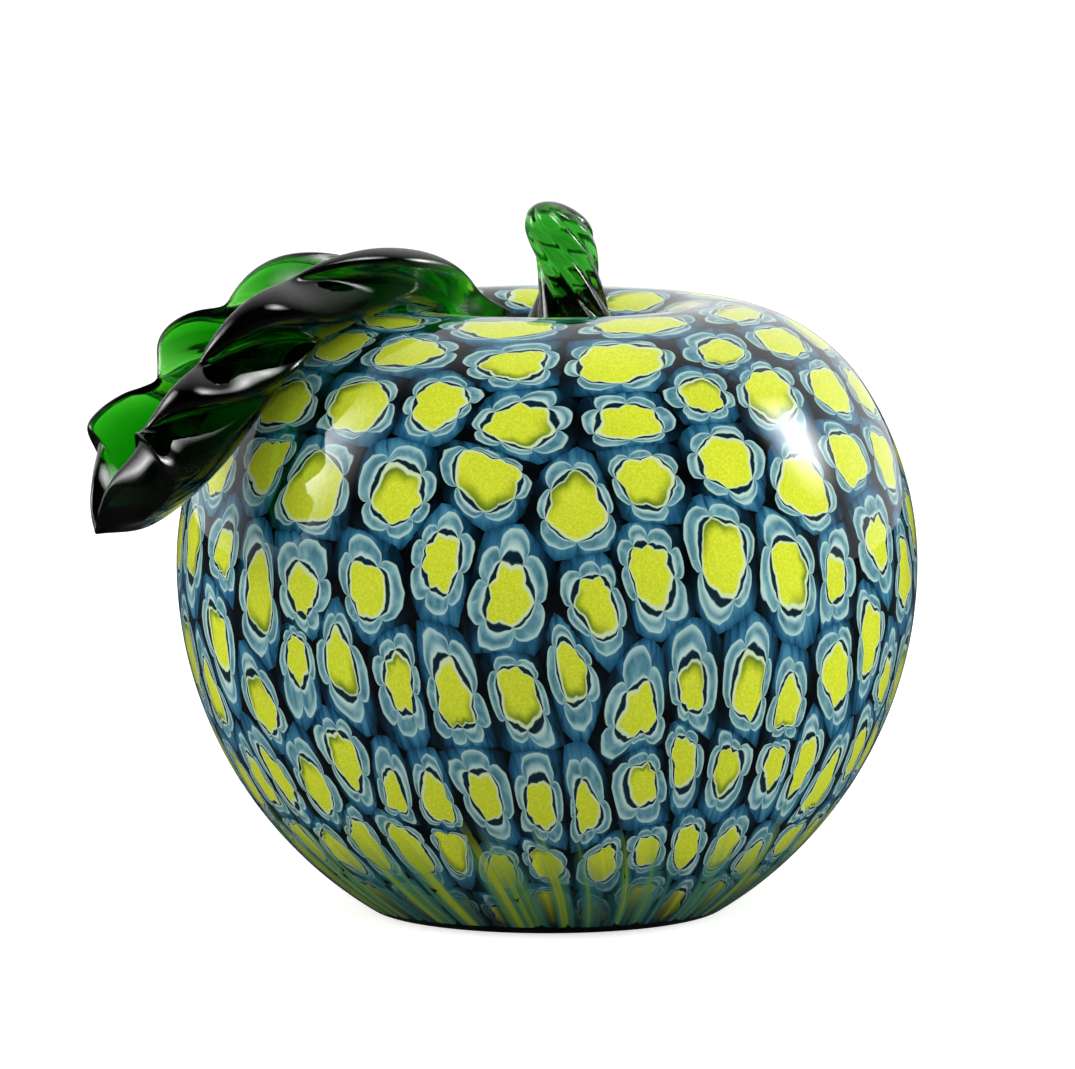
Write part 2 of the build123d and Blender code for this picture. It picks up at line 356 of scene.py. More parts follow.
# %% Clear fire-polished glass
GLASS_IOR = 1.5


def see_through_glass(name, surface, shade, roughness, waves, depth=None):
    """Fire-polished glass: sharp reflections with a slow waviness, and colour that deepens with thickness.

    waves holds the size and the bump depth of the waves in millimetres, their detail and their strength.
    depth holds the colour and the density of the absorbing volume, for coloured glass.
    """
    material, tree = new_material(name)
    wave_size, wave_depth, wave_detail, wave_strength = waves
    place = add(tree, "ShaderNodeTexCoord")
    noise = add(
        tree, "ShaderNodeTexNoise", {},
        {"Vector": place.outputs["Object"], "Scale": 1 / (wave_size * MM), "Detail": wave_detail},
    )
    bump = add(
        tree, "ShaderNodeBump", {},
        {"Height": noise.outputs[0], "Distance": wave_depth * MM, "Strength": wave_strength},
    )
    glass = add(
        tree, "ShaderNodeBsdfPrincipled", {},
        {
            "Base Color": linear(surface), "Roughness": roughness, "IOR": GLASS_IOR,
            "Transmission Weight": 1.0, "Normal": bump.outputs[0],
        },
    )
    open_glass = add(tree, "ShaderNodeBsdfTransparent", {}, {"Color": linear(shade)})
    path = add(tree, "ShaderNodeLightPath")
    mix = add(
        tree, "ShaderNodeMixShader", {},
        {0: path.outputs["Is Shadow Ray"], 1: glass.outputs[0], 2: open_glass.outputs[0]},
    )
    ends = {"Surface": mix.outputs[0]}
    if depth:
        tint, density = depth
        volume = add(tree, "ShaderNodeVolumeAbsorption", {}, {"Color": linear(tint), "Density": density})
        ends["Volume"] = volume.outputs[0]
    add(tree, "ShaderNodeOutputMaterial", {}, ends)
    return material


casing_glass = see_through_glass(
    "clear_glass_fire_polished", "#FBFEFC", "#F6FAF7", 0.04, (30.0, 0.3, 1.0, 0.14),
)
print("glass:", casing_glass.name)

# %% Casing: an outer skin, and an inner wall below the pattern so that no air lies between
INNER_WALL_DEPTH = CASING_WALL + 1.2
SKIN_TURN_STEPS = 192
WALL_TURN_STEPS = 96

casing = turned_layer("clear_casing_glass", skin_line(), SKIN_TURN_STEPS, casing_glass)
inner_wall = turned_layer("casing_inner_wall", layer_line(INNER_WALL_DEPTH), WALL_TURN_STEPS, casing_glass)
inner_wall.data.flip_normals()
shell = bmesh.new()
shell.from_mesh(casing.data)
shell.from_mesh(inner_wall.data)
shell.to_mesh(casing.data)
shell.free()
bpy.data.objects.remove(inner_wall)
print("casing:", len(casing.data.polygons), "faces")

# %% [markdown]
# ## Dark ground
#
# Under the murrine lies the first gather, a very dark blue-black glass. It shows as the fine black lines
# where slices meet, and as the dark bowl of the dimple. It is a closed layer just below the pattern, with
# no gloss of its own because it is fused to the clear glass above it.

# %% Blue-black ground glass
GROUND_GAP = 0.5
GROUND_TURN_STEPS = 128
SPECK_SIZE = 0.5


def ground_glass():
    """Blue-black gather with fine pale dust in it, as marvered glass picks up."""
    material, tree = new_material("blue_black_glass_gather")
    place = add(tree, "ShaderNodeTexCoord")
    specks = add(
        tree, "ShaderNodeTexVoronoi", {},
        {"Vector": place.outputs["Object"], "Scale": 1 / (4 * SPECK_SIZE * MM)},
    )
    shine = add(
        tree, "ShaderNodeValToRGB", {}, {0: specks.outputs["Distance"]},
        [(0.03, "#2C4656"), (0.10, "#010406")],
    )
    body = add(
        tree, "ShaderNodeBsdfPrincipled", {},
        {"Base Color": shine.outputs[0], "Roughness": 0.9, "Specular IOR Level": 0.0},
    )
    add(tree, "ShaderNodeOutputMaterial", {}, {"Surface": body.outputs[0]})
    return material


ground_line = layer_line(CASING_WALL + GROUND_GAP)
ground = turned_layer("dark_ground", ground_line, GROUND_TURN_STEPS, ground_glass())
print("ground:", len(ground.data.polygons), "faces")

# %% [markdown]
# ## Murrine: where each slice lies
#
# A murrina is a slice of patterned cane. The slices are set side by side on a hot plate, picked up by the
# bubble, and pressed against each other as it is rolled, so each one ends up filling the space that its
# neighbours leave it. That is what a Voronoi diagram does. The centres come from the cores in the CAD
# model, moved a little by seeded random steps, because no hand sets them evenly. Rolling drags the slices
# round, so all of them lean a little, and those further down lie looser than those round the dimple.

# %% The band that the slices cover
FOOT_MARGIN = 1.0

mosaic_line = layer_line(CASING_WALL)
mosaic_shares, mosaic_length = line_shares(mosaic_line)
mosaic_distance = mosaic_shares * mosaic_length
band_start = (bowl_radius + CASING_WALL) * math.radians(lip_join - 90)
foot_index = int(np.argmax(mosaic_line[:, 1] <= CASING_WALL + 1e-6))
band_stop = mosaic_distance[foot_index] - FOOT_MARGIN


def girth_radius(distance):
    """Radius of the mosaic surface at a distance along its meridian, in millimetres."""
    return np.interp(distance, mosaic_distance, mosaic_line[:, 0])


print("band of slices:", round(band_stop - band_start, 1), "mm along the meridian")


# %% Centres of the slices
def island_centres(node):
    """Centre of each separate solid in a CAD node, in millimetres."""
    copy = bmesh.new()
    copy.from_mesh(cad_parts[node].data)
    bmesh.ops.remove_doubles(copy, verts=copy.verts, dist=MERGE_DISTANCE)
    copy.verts.ensure_lookup_table()
    seen = set()
    centres = []
    for first in copy.verts:
        if first.index in seen:
            continue
        seen.add(first.index)
        queue = [first]
        group = []
        while queue:
            vert = queue.pop()
            group.append(vert.co)
            for edge in vert.link_edges:
                other = edge.other_vert(vert)
                if other.index not in seen:
                    seen.add(other.index)
                    queue.append(other)
        centres.append(np.mean(group, axis=0) / MM)
    copy.free()
    return np.array(centres)


row_count = sum(name.startswith("cores_row_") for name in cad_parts)
cells = []
for row in range(1, row_count + 1):
    centres = island_centres(f"cores_row_{row}")
    turns = np.sort(np.arctan2(centres[:, 1], centres[:, 0]))
    middle = np.array([np.mean(np.hypot(centres[:, 0], centres[:, 1])), np.mean(centres[:, 2])])
    nearest = np.argmin(np.linalg.norm(mosaic_line - middle, axis=1))
    cells.append({"row": row, "turns": turns, "distance": mosaic_distance[nearest]})
row_middles = [cell["distance"] for cell in cells]
row_edges = [band_start] + [(a + b) / 2 for a, b in zip(row_middles, row_middles[1:])] + [band_stop]
print("slices in each row:", [len(cell["turns"]) for cell in cells])

# %% Loosen the slices
SEED = 41
TURN_JITTER = 0.16
DRIFT_JITTER = 0.24
PRESS_JITTER = 0.42
MEAN_TILT = math.radians(8.0)
TILT_JITTER = math.radians(8.0)
CALM_ROWS = 3
CALM_LOOSENESS = 0.5
LOOSENESS = 0.7
ROW_LOOSENESS = 0.1
MOST_LOOSENESS = 1.5

rng = np.random.default_rng(SEED)
slices = []
for cell, top, bottom in zip(cells, row_edges, row_edges[1:]):
    count = len(cell["turns"])
    half_wide = math.pi * girth_radius((top + bottom) / 2) / count
    half_tall = (bottom - top) / 2
    for turn in cell["turns"]:
        step_turn, step_drift, press, lean = rng.uniform(-1, 1, 4)
        loose = min(MOST_LOOSENESS, LOOSENESS + ROW_LOOSENESS * cell["row"])
        if cell["row"] <= CALM_ROWS:
            loose = CALM_LOOSENESS
        slices.append({
            "row": cell["row"],
            "turn": turn + step_turn * TURN_JITTER * 2 * math.pi / count,
            "distance": (top + bottom) / 2 + loose * step_drift * DRIFT_JITTER * 2 * half_tall,
            "half_wide": half_wide,
            "half_tall": half_tall,
            "press": PRESS_JITTER * press,
            "tilt": MEAN_TILT + TILT_JITTER * lean,
        })

slice_turn, slice_distance, slice_wide, slice_tall, slice_press, slice_tilt = (
    np.array([piece[key] for piece in slices])
    for key in ("turn", "distance", "half_wide", "half_tall", "press", "tilt")
)
print("mean size of a slice:", round(2 * slice_wide.mean(), 1), "by", round(2 * slice_tall.mean(), 1), "mm")


# %% Press the slices against each other
def pull(turn, distance, near):
    """How far points are from slices, in half sizes of each slice, less what the slice presses out."""
    gap = (turn[..., None] - slice_turn[near] + math.pi) % (2 * math.pi) - math.pi
    right = gap * girth_radius((distance[..., None] + slice_distance[near]) / 2)
    up = slice_distance[near] - distance[..., None]
    sine, cosine = np.sin(slice_tilt[near]), np.cos(slice_tilt[near])
    across = (right * cosine + up * sine) / slice_wide[near]
    along = (up * cosine - right * sine) / slice_tall[near]
    return across**2 + along**2 - slice_press[near]


def slice_spots(index, x, y):
    """Turn and distance of spots on a slice, given in half sizes of the slice."""
    sine, cosine = math.sin(slice_tilt[index]), math.cos(slice_tilt[index])
    right = x * slice_wide[index] * cosine - y * slice_tall[index] * sine
    up = x * slice_wide[index] * sine + y * slice_tall[index] * cosine
    distance = slice_distance[index] - up
    radius = girth_radius((distance + slice_distance[index]) / 2)
    return slice_turn[index] + right / radius, distance


# %% Borders between the slices
SIDES = 24
MARCH_STEPS = 90
MARCH_REACH = 1.9
NEIGHBOURS = 21
side_angles = 2 * math.pi * np.arange(SIDES) / SIDES
march = np.linspace(0, MARCH_REACH, MARCH_STEPS)


def slice_border(index):
    """Distance to the border of a slice in each direction, in half sizes of the slice."""
    turn, distance = slice_spots(
        index, np.outer(np.cos(side_angles), march), np.outer(np.sin(side_angles), march),
    )
    gap = (slice_turn - slice_turn[index] + math.pi) % (2 * math.pi) - math.pi
    spread = np.hypot(gap * girth_radius(slice_distance[index]), slice_distance - slice_distance[index])
    near = np.argsort(spread)[1:NEIGHBOURS + 1]
    own = pull(turn, distance, np.array([index]))[..., 0]
    others = pull(turn, distance, near).min(axis=-1)
    outside = (own > others) | (distance < band_start) | (distance > band_stop)
    outside[:, -1] = True
    first = outside.argmax(axis=1)
    return march[np.maximum(first, 1)]


borders = np.array([slice_border(index) for index in range(len(slices))])
print("slices:", len(slices), " mean reach of a border:", round(float(borders.mean()), 2))

# %% [markdown]
# ## Murrine: the flat plan of a row
#
# Each slice is a fan of three rings, a few dozen faces: the middle, a smooth outline where its petals end,
# and the border it shares with its neighbours. The mesh carries what the glass shader needs to draw the
# cane's own pattern at any size: a map of the slice, how far out a point is, and the cane's petal count,
# turn and seed. The pattern belongs to the cane and runs through the whole slice, so it is a material and
# not a relief.

# %% Draw the flat plan of a row
PETAL_REACH = 0.86
RING_SHARES = (0.42, PETAL_REACH, 1.0)
HARMONICS = 4
CORE_SHIFT = 0.09
CORE_SIZES = (0.50, 0.64)
LOW_CORE_SIZES = (0.40, 0.54)
FIRST_LOW_ROW = 6
FOOT_LIFT = 0.28
FOOT_DRAW = 0.4
OUTLINE_SLACK = 1.04
PETAL_CHOICE = (5, 6, 6, 6, 7)


def smooth_outline(border):
    """The border with only its first few waves, as surface tension leaves it."""
    waves = np.fft.rfft(border)
    waves[HARMONICS:] = 0
    return np.minimum(np.fft.irfft(waves, SIDES), border * OUTLINE_SLACK)


def row_plan(row):
    """Points, faces and fields of one row of slices, as a flat plan."""
    points, faces, slice_map, reach, cane, seed = [], [], [], [], [], []
    for index, piece in enumerate(slices):
        if piece["row"] != row:
            continue
        border = borders[index]
        outline = smooth_outline(border)
        foot_drag = max(0.0, (row - row_count + 2) / 2)
        shift_turn = rng.uniform(0, 2 * math.pi)
        shift = CORE_SHIFT * np.array([math.cos(shift_turn), math.sin(shift_turn)])
        shift[1] += FOOT_LIFT * foot_drag
        petals = int(rng.choice(PETAL_CHOICE))
        core = rng.uniform(*(CORE_SIZES if row < FIRST_LOW_ROW else LOW_CORE_SIZES))
        marks = (petals, rng.uniform(0, 1), core)
        slice_seed = int(rng.integers(1, 1000))
        first = len(points)
        rings = [np.zeros((1, 2)) + shift]
        for share in RING_SHARES:
            drawn = share + FOOT_DRAW * foot_drag * np.maximum(-np.sin(side_angles), 0) * (share < 0.5)
            far = border if share == 1.0 else outline * drawn
            ring = np.column_stack([far * np.cos(side_angles), far * np.sin(side_angles)])
            keep = 0.0 if share >= PETAL_REACH else 1.0 - share / PETAL_REACH
            rings.append(ring + keep * shift)
        flat = np.vstack(rings)
        turn, distance = slice_spots(index, flat[:, 0], flat[:, 1])
        points += [(t / (2 * math.pi), d / mosaic_length, 0.0) for t, d in zip(turn, distance)]
        slice_map += [tuple(xy - shift) for xy in flat]
        reach += [0.0] + [share for share in RING_SHARES for _ in range(SIDES)]
        cane += [marks] * len(flat)
        seed += [slice_seed] * len(flat)
        for k in range(SIDES):
            after = (k + 1) % SIDES
            faces.append((first, first + 1 + k, first + 1 + after))
            for ring in range(len(RING_SHARES) - 1):
                near = first + 1 + ring * SIDES
                far = near + SIDES
                faces.append((near + k, far + k, far + after, near + after))
    return points, faces, slice_map, reach, cane, seed


# %% Wrap a row, with the fields that its glass reads
def murrine_row_piece(row, guide, finish):
    """One row of slices, with its fields, wrapped round the apple."""
    points, faces, slice_map, reach, cane, seed = row_plan(row)
    plan = new_piece(f"murrine_row_{row}", points, faces)
    for name, kind, values in (("reach", "FLOAT", reach), ("seed", "FLOAT", seed)):
        plan.data.attributes.new(name, kind, "POINT").data.foreach_set("value", values)
    for name, values in (("cane", cane), ("slice_map", [(x, y, 0.0) for x, y in slice_map])):
        field = plan.data.attributes.new(name, "FLOAT_VECTOR", "POINT")
        field.data.foreach_set("vector", np.array(values, dtype=np.float32).ravel())
    return wrap(plan, guide, finish)


# %% [markdown]
# ## Murrine glass
#
# From the middle outwards a slice has a lemon-yellow core, a thin cream line, a dark crescent in each petal
# with a pale line round it, steel-blue petals with pale scalloped edges, and blue and black glass around
# them. The dark crescent, and the fall from its pale line into the darker petal, are painted shade: they
# stand in for the depth of clear glass between the core and the petals. The pattern could be painted as an
# image for each cane, but that would blur near by. Here the shader works the rings out from the slice's map:
# the angle picks the petal, and the reach is compared with the edge of the core and of the petal at that
# angle.
# The sums are a recipe of plain Math nodes, one per line: a name, an operation and its terms. The first list
# finds the petal, and the second the edges within it.

# %% Recipe: find the petal
PETAL_SUMS = [
    ("sway_east", "SUBTRACT", "wobble_red", 0.5),
    ("sway_north", "SUBTRACT", "wobble_green", 0.5),
    ("sway_out", "SUBTRACT", "wobble_blue", 0.5),
    ("east", "MULTIPLY_ADD", "sway_east", 0.26, "map_x"),
    ("north", "MULTIPLY_ADD", "sway_north", 0.26, "map_y"),
    ("angle", "ARCTAN2", "north", "east"),
    ("petals", "ROUND", "cane_count"),
    ("luck", "ROUND", "seed"),
    ("turns", "DIVIDE", "angle", 2 * math.pi),
    ("uneven_turn", "ADD", "angle", "luck"),
    ("uneven", "SINE", "uneven_turn"),
    ("started", "MULTIPLY_ADD", "turns", "petals", "cane_turn"),
    ("place", "MULTIPLY_ADD", "uneven", 0.22, "started"),
    ("half_petal", "PINGPONG", "place", 0.5),
    ("petal", "MULTIPLY", "half_petal", 2.0),
    ("petal_rest", "SUBTRACT", 2.0, "petal"),
    ("petal_square", "MULTIPLY", "petal", "petal_rest"),
    ("arch", "SQRT", "petal_square"),
    ("whole", "FLOOR", "place"),
    ("petal_number", "FLOORED_MODULO", "whole", "petals"),
    ("petal_mark", "ROUND", "petal_number"),
]
print("sums for the petal:", len(PETAL_SUMS))

# %% Recipe: find the edges within it
EDGE_SUMS = [
    ("inward", "SUBTRACT", 1.0, "reach"),
    ("hold", "MULTIPLY", "inward", "reach"),
    ("drift", "MULTIPLY", "sway_out", "hold"),
    ("out", "MULTIPLY_ADD", "drift", 0.45, "reach"),
    ("petal_luck", "SUBTRACT", "chance_red", 0.5),
    ("petal_grow", "MULTIPLY_ADD", "petal_luck", 0.13, 0.24),
    ("petal_edge", "MULTIPLY_ADD", "petal_grow", "arch", 0.64),
    ("star", "SUBTRACT", 0.5, "petal"),
    ("core_star", "MULTIPLY_ADD", "star", 0.10, "cane_core"),
    ("core_edge", "MULTIPLY_ADD", "sway_north", 0.10, "core_star"),
    ("rim_turn", "MULTIPLY_ADD", "luck", 2.4, "angle"),
    ("rim_side", "COSINE", "rim_turn"),
    ("rim", "MULTIPLY_ADD", "rim_side", 0.024, 0.036),
    ("rim_edge", "ADD", "core_edge", "rim"),
    ("petal_depth", "SUBTRACT", "petal_edge", "rim_edge"),
    ("past_rim", "SUBTRACT", "out", "rim_edge"),
    ("petal_share", "DIVIDE", "past_rim", "petal_depth"),
    ("petal_low", "MAXIMUM", "petal_share", 0.0),
    ("petal_in", "MINIMUM", "petal_low", 1.0),
    # painted shade: the dark crescent stands in for the depth of clear glass in the cane; its width changes
    # from petal to petal
    ("crescent_luck", "MULTIPLY_ADD", "chance_green", 0.28, 0.11),
    ("crescent", "MULTIPLY_ADD", "arch", "crescent_luck", 0.04),
    ("petal_steps", "DIVIDE", "petal_in", "crescent"),
    ("petal_tone", "DIVIDE", "petal_steps", 4.0),
    ("fold_gap", "SUBTRACT", 1.0, "petal"),
    ("core_gap", "SUBTRACT", "core_edge", "out"),
    ("rim_gap", "SUBTRACT", "rim_edge", "out"),
    ("petal_gap", "SUBTRACT", "petal_edge", "out"),
    ("mantle_depth", "SUBTRACT", 1.0, "petal_edge"),
    ("past_petal", "SUBTRACT", "out", "petal_edge"),
    ("mantle_share", "DIVIDE", "past_petal", "mantle_depth"),
    ("mantle_low", "MAXIMUM", "mantle_share", 0.0),
    ("mantle_in", "MINIMUM", "mantle_low", 1.0),
    ("mantle_left", "SUBTRACT", 1.0, "mantle_in"),
    ("climb", "SINE", "angle"),
    ("climb_size", "ABSOLUTE", "climb"),
    ("blue_side", "POWER", "climb_size", 2.2),
    ("blue_fall", "MULTIPLY_ADD", "mantle_left", 0.55, 0.45),
    ("blue_plain", "MULTIPLY", "blue_fall", "blue_side"),
    ("drag_gain", "MULTIPLY_ADD", "drag", 2.2, -0.2),
    ("blue", "MULTIPLY", "blue_plain", "drag_gain"),
    ("swirl_start", "MULTIPLY_ADD", "sway_east", 7.0, "luck"),
    ("swirl_phase", "MULTIPLY_ADD", "out", 34.0, "swirl_start"),
    ("swirl", "SINE", "swirl_phase"),
    ("core_tone", "MULTIPLY_ADD", "swirl", 0.02, "grain"),
    ("core_share", "DIVIDE", "out", "core_edge"),
    ("olive_turn", "MULTIPLY_ADD", "luck", 5.1, "angle"),
    ("olive_cosine", "COSINE", "olive_turn"),
    ("olive_side", "MAXIMUM", "olive_cosine", 0.0),
    ("olive_draw", "MULTIPLY", "luck", 0.377),
    ("olive_chance", "FRACT", "olive_draw"),
    ("olive_pick", "GREATER_THAN", "olive_chance", 0.55),
    ("olive_some", "MULTIPLY", "olive_side", "olive_pick"),
]
print("sums for the edges:", len(EDGE_SUMS))

# %% Work out the sums for a slice
WOBBLE_SIZE = 3.6
GRAIN_SIZE = 0.35


def run_sums(tree, sums, known):
    """Adds one Math node for each line of a recipe and files its result under its name."""
    for name, operation, *terms in sums:
        inputs = {k: known.get(term, term) for k, term in enumerate(terms)}
        known[name] = add(tree, "ShaderNodeMath", {"operation": operation}, inputs).outputs[0]


def slice_sums(tree, place):
    """Named results at a point of a slice, with the wobble of the hand and a chance for each petal."""
    fields = {
        name: add(tree, "ShaderNodeAttribute", {"attribute_name": name})
        for name in ("slice_map", "reach", "cane", "seed")
    }
    flat = add(tree, "ShaderNodeSeparateXYZ", {}, {0: fields["slice_map"].outputs["Vector"]})
    cane = add(tree, "ShaderNodeSeparateXYZ", {}, {0: fields["cane"].outputs["Vector"]})
    wobble, grain = (
        add(
            tree, "ShaderNodeTexNoise", {},
            {"Vector": place.outputs["Object"], "Scale": 1 / (size * MM), "Detail": 2.0},
        )
        for size in (WOBBLE_SIZE, GRAIN_SIZE)
    )
    sway = add(tree, "ShaderNodeSeparateColor", {}, {0: wobble.outputs["Color"]})
    known = {
        "map_x": flat.outputs[0], "map_y": flat.outputs[1], "reach": fields["reach"].outputs["Fac"],
        "cane_count": cane.outputs[0], "cane_turn": cane.outputs[1], "cane_core": cane.outputs[2],
        "seed": fields["seed"].outputs["Fac"], "grain": grain.outputs[0],
        "wobble_red": sway.outputs[0], "wobble_green": sway.outputs[1], "wobble_blue": sway.outputs[2],
    }
    run_sums(tree, PETAL_SUMS, known)
    marks = add(tree, "ShaderNodeCombineXYZ", {}, {0: known["petal_mark"], 1: known["luck"]})
    chance = add(tree, "ShaderNodeTexWhiteNoise", {}, {"Vector": marks.outputs[0]})
    chances = add(tree, "ShaderNodeSeparateColor", {}, {0: chance.outputs["Color"]})
    known["chance_red"], known["chance_green"] = chances.outputs[0], chances.outputs[1]
    fan = add(
        tree, "ShaderNodeCombineXYZ", {},
        {0: known["place"], 1: known["luck"], 2: known["reach"]},
    )
    upright = add(
        tree, "ShaderNodeVectorMath", {"operation": "MULTIPLY_ADD"},
        {0: fields["slice_map"].outputs["Vector"], 1: (3.0, 0.5, 0.0), 2: marks.outputs[0]},
    )
    for name, spot, scale in (("streak", fan, 3.0), ("drag", upright, 1.6)):
        known[name] = add(
            tree, "ShaderNodeTexNoise", {}, {"Vector": spot.outputs[0], "Scale": scale, "Detail": 3.0},
        ).outputs[0]
    run_sums(tree, EDGE_SUMS, known)
    return known


# %% Masks, ramps and layers of a slice
EDGE_SOFTNESS = 0.012
SOFT_STEPS = (
    ("core_gap", -EDGE_SOFTNESS, 3 * EDGE_SOFTNESS, 1.0),
    ("rim_gap", -EDGE_SOFTNESS, EDGE_SOFTNESS, 1.0),
    ("petal_gap", -EDGE_SOFTNESS, EDGE_SOFTNESS, 1.0),
    ("petal_in", 0.7, 0.98, 0.9),
    ("petal_tone", 0.34, 0.5, 1.0),
    ("fold_gap", 0.8, 1.0, 0.3),
    ("core_share", 0.55, 1.0, 1.0),
)
RAMPS = (
    ("mantle", "blue", [(0.0, "#010305"), (0.18, "#08202F"), (0.45, "#1D5070"), (1.0, "#467F9C")]),
    ("petal_body", "streak", [(0.3, "#386678"), (0.5, "#578697"), (0.7, "#84AAB0")]),
    # painted shade: the dark crescent, then the fall from its pale line into the darker petal
    ("crescent", "petal_tone", [
        (0.0, "#1C3E48"), (0.07, "#081C28"), (0.21, "#0B2836"),
        (0.26, "#BFD2CD"), (0.35, "#9BBABD"), (0.5, "#6C98A4"),
    ]),
    ("yellow", "core_tone", [(0.3, "#C0C829"), (0.5, "#CBD134"), (0.7, "#D7DC42")]),
)
LAYERS = (
    # the painted shade of the crescent lies under the petal body, on the inner part of each petal
    ("petals", "petal_tone", "crescent", "petal_body"),
    ("edged_petals", "pale_edge", "petals", "pale"),
    ("core", "olive_shade", "yellow", "olive"),
    ("with_petals", "petal_gap", "mantle", "edged_petals"),
    ("with_rim", "rim_gap", "with_petals", "cream"),
    ("slice", "core_gap", "with_rim", "core"),
)
print("layers of a slice:", [layer[0] for layer in LAYERS])


# %% Colours of a slice, laid over each other
def slice_colour(tree, known):
    """The colour at a point of a slice: each layer mixes one paint over another by a mask."""
    masks = {
        name: add(
            tree, "ShaderNodeMapRange", {"interpolation_type": "SMOOTHSTEP"},
            {"Value": known[name], "From Min": low, "From Max": high, "To Max": most},
        ).outputs[0]
        for name, low, high, most in SOFT_STEPS
    }
    masks["pale_edge"] = add(
        tree, "ShaderNodeMath", {"operation": "MAXIMUM"}, {0: masks["petal_in"], 1: masks["fold_gap"]},
    ).outputs[0]
    masks["olive_shade"] = add(
        tree, "ShaderNodeMath", {"operation": "MULTIPLY"}, {0: masks["core_share"], 1: known["olive_some"]},
    ).outputs[0]
    paints = {"pale": linear("#AECAC6"), "olive": linear("#4C6B14"), "cream": linear("#C6D3AE")}
    for name, value, stops in RAMPS:
        paints[name] = add(tree, "ShaderNodeValToRGB", {}, {0: known[value]}, stops).outputs[0]
    for name, mask, under, over in LAYERS:
        paints[name] = add(
            tree, "ShaderNodeMix", {"data_type": "RGBA"}, {0: masks[mask], 6: paints[under], 7: paints[over]},
        ).outputs[2]
    return paints["slice"]


# %% [markdown]
# ## Streaks at the foot
#
# Where the bubble was drawn in and cracked off the pipe, the slices are pulled into streaks that run down to
# the foot. The solids can't show that, so the shader fades to streaks there, in teal and olive and darker
# than the slices, so the foot grows darker towards the bottom. The streaks are noise on the direction from
# the axis, turned a little with height, and bright ones reach further up.

# %% Streaks of drawn glass
FOOT_HEIGHT = 19.0
FOOT_FULL = 5.0
FOOT_SHARE = 0.95
STREAK_LIFT = 30.0
STREAK_RADIUS = 38.0
STREAK_SIZE = 3.2
STREAK_TWIST = 8.0


def foot_streaks(tree, place, colour):
    """The colour of the slices with streaks over it near the foot."""
    height = add(tree, "ShaderNodeSeparateXYZ", {}, {0: place.outputs["Object"]})
    twist = add(
        tree, "ShaderNodeMath", {"operation": "MULTIPLY"}, {0: height.outputs[2], 1: STREAK_TWIST},
    )
    turned = add(
        tree, "ShaderNodeVectorRotate", {"rotation_type": "Z_AXIS"},
        {"Vector": place.outputs["Object"], "Angle": twist.outputs[0]},
    )
    flat_way = add(
        tree, "ShaderNodeVectorMath", {"operation": "MULTIPLY"}, {0: turned.outputs[0], 1: (1.0, 1.0, 0.0)},
    )
    spoke = add(tree, "ShaderNodeVectorMath", {"operation": "NORMALIZE"}, {0: flat_way.outputs[0]})
    smear = add(
        tree, "ShaderNodeTexNoise", {},
        {"Vector": spoke.outputs[0], "Scale": STREAK_RADIUS / STREAK_SIZE, "Detail": 4.0},
    )
    streaks = add(
        tree, "ShaderNodeValToRGB", {}, {0: smear.outputs[0]},
        [(0.36, "#04120F"), (0.44, "#163F42"), (0.5, "#356F6C"), (0.56, "#527F49"), (0.63, "#9CAB2A")],
    )
    lowered = add(
        tree, "ShaderNodeMath", {"operation": "MULTIPLY_ADD"},
        {0: smear.outputs[0], 1: -STREAK_LIFT * MM, 2: height.outputs[2]},
    )
    foot = add(
        tree, "ShaderNodeMapRange", {"interpolation_type": "SMOOTHSTEP"},
        {
            "Value": lowered.outputs[0], "From Min": (FOOT_HEIGHT - STREAK_LIFT / 2) * MM,
            "From Max": (FOOT_FULL - STREAK_LIFT / 2) * MM, "To Max": FOOT_SHARE,
        },
    )
    smeared = add(
        tree, "ShaderNodeMix", {"data_type": "RGBA"}, {0: foot.outputs[0], 6: colour, 7: streaks.outputs[0]},
    )
    return smeared.outputs[2]


# %% Murrine glass: opal colours fused under the clear casing
def murrine_glass():
    """Opaque and opal cane colours, with hand-pulled wobble, and no gloss of their own under the casing."""
    material, tree = new_material("murrine_glass_fused_cane")
    place = add(tree, "ShaderNodeTexCoord")
    colour = slice_colour(tree, slice_sums(tree, place))
    body = add(
        tree, "ShaderNodeBsdfPrincipled", {},
        {"Base Color": foot_streaks(tree, place, colour), "Roughness": 0.9, "Specular IOR Level": 0.0},
    )
    add(tree, "ShaderNodeOutputMaterial", {}, {"Surface": body.outputs[0]})
    return material


cane_glass = murrine_glass()
mosaic_guide = meridian_curve("mosaic_line", mosaic_line)
murrine = {row: murrine_row_piece(row, mosaic_guide, cane_glass) for row in range(1, row_count + 1)}
bpy.data.objects.remove(mosaic_guide)
print("murrine rows:", [len(piece.data.polygons) for piece in murrine.values()], "faces")

# %% [markdown]
# ## Green glass
#
# Stem and leaf are pulled and pressed from a hot bit of transparent green glass. Its colour is in its
# depth: a thin edge is bright leaf green and the thick middle is almost black. A painted colour can't do
# that from all sides, so the glass itself is clear and an absorbing volume inside gives the green. As with
# the casing, lamps pass through, tinted green, and so throw the green shade on the apple below. The leaf is
# of a deeper green than the stem: its fat lobes are almost black where the stem is still bright.

# %% Pulled and pressed green glass
leaf_glass, stem_glass = (
    see_through_glass(name, "#F4FFF4", "#B4E08A", 0.045, (wave_size, 0.4, 2.0, 0.12), (tint, density))
    for name, wave_size, tint, density in (
        ("green_glass_pressed_leaf", 6.0, "#73DF00", 1450.0),
        ("green_glass_pulled_stem", 3.0, "#4BD600", 430.0),
    )
)
print("glass:", leaf_glass.name, stem_glass.name)

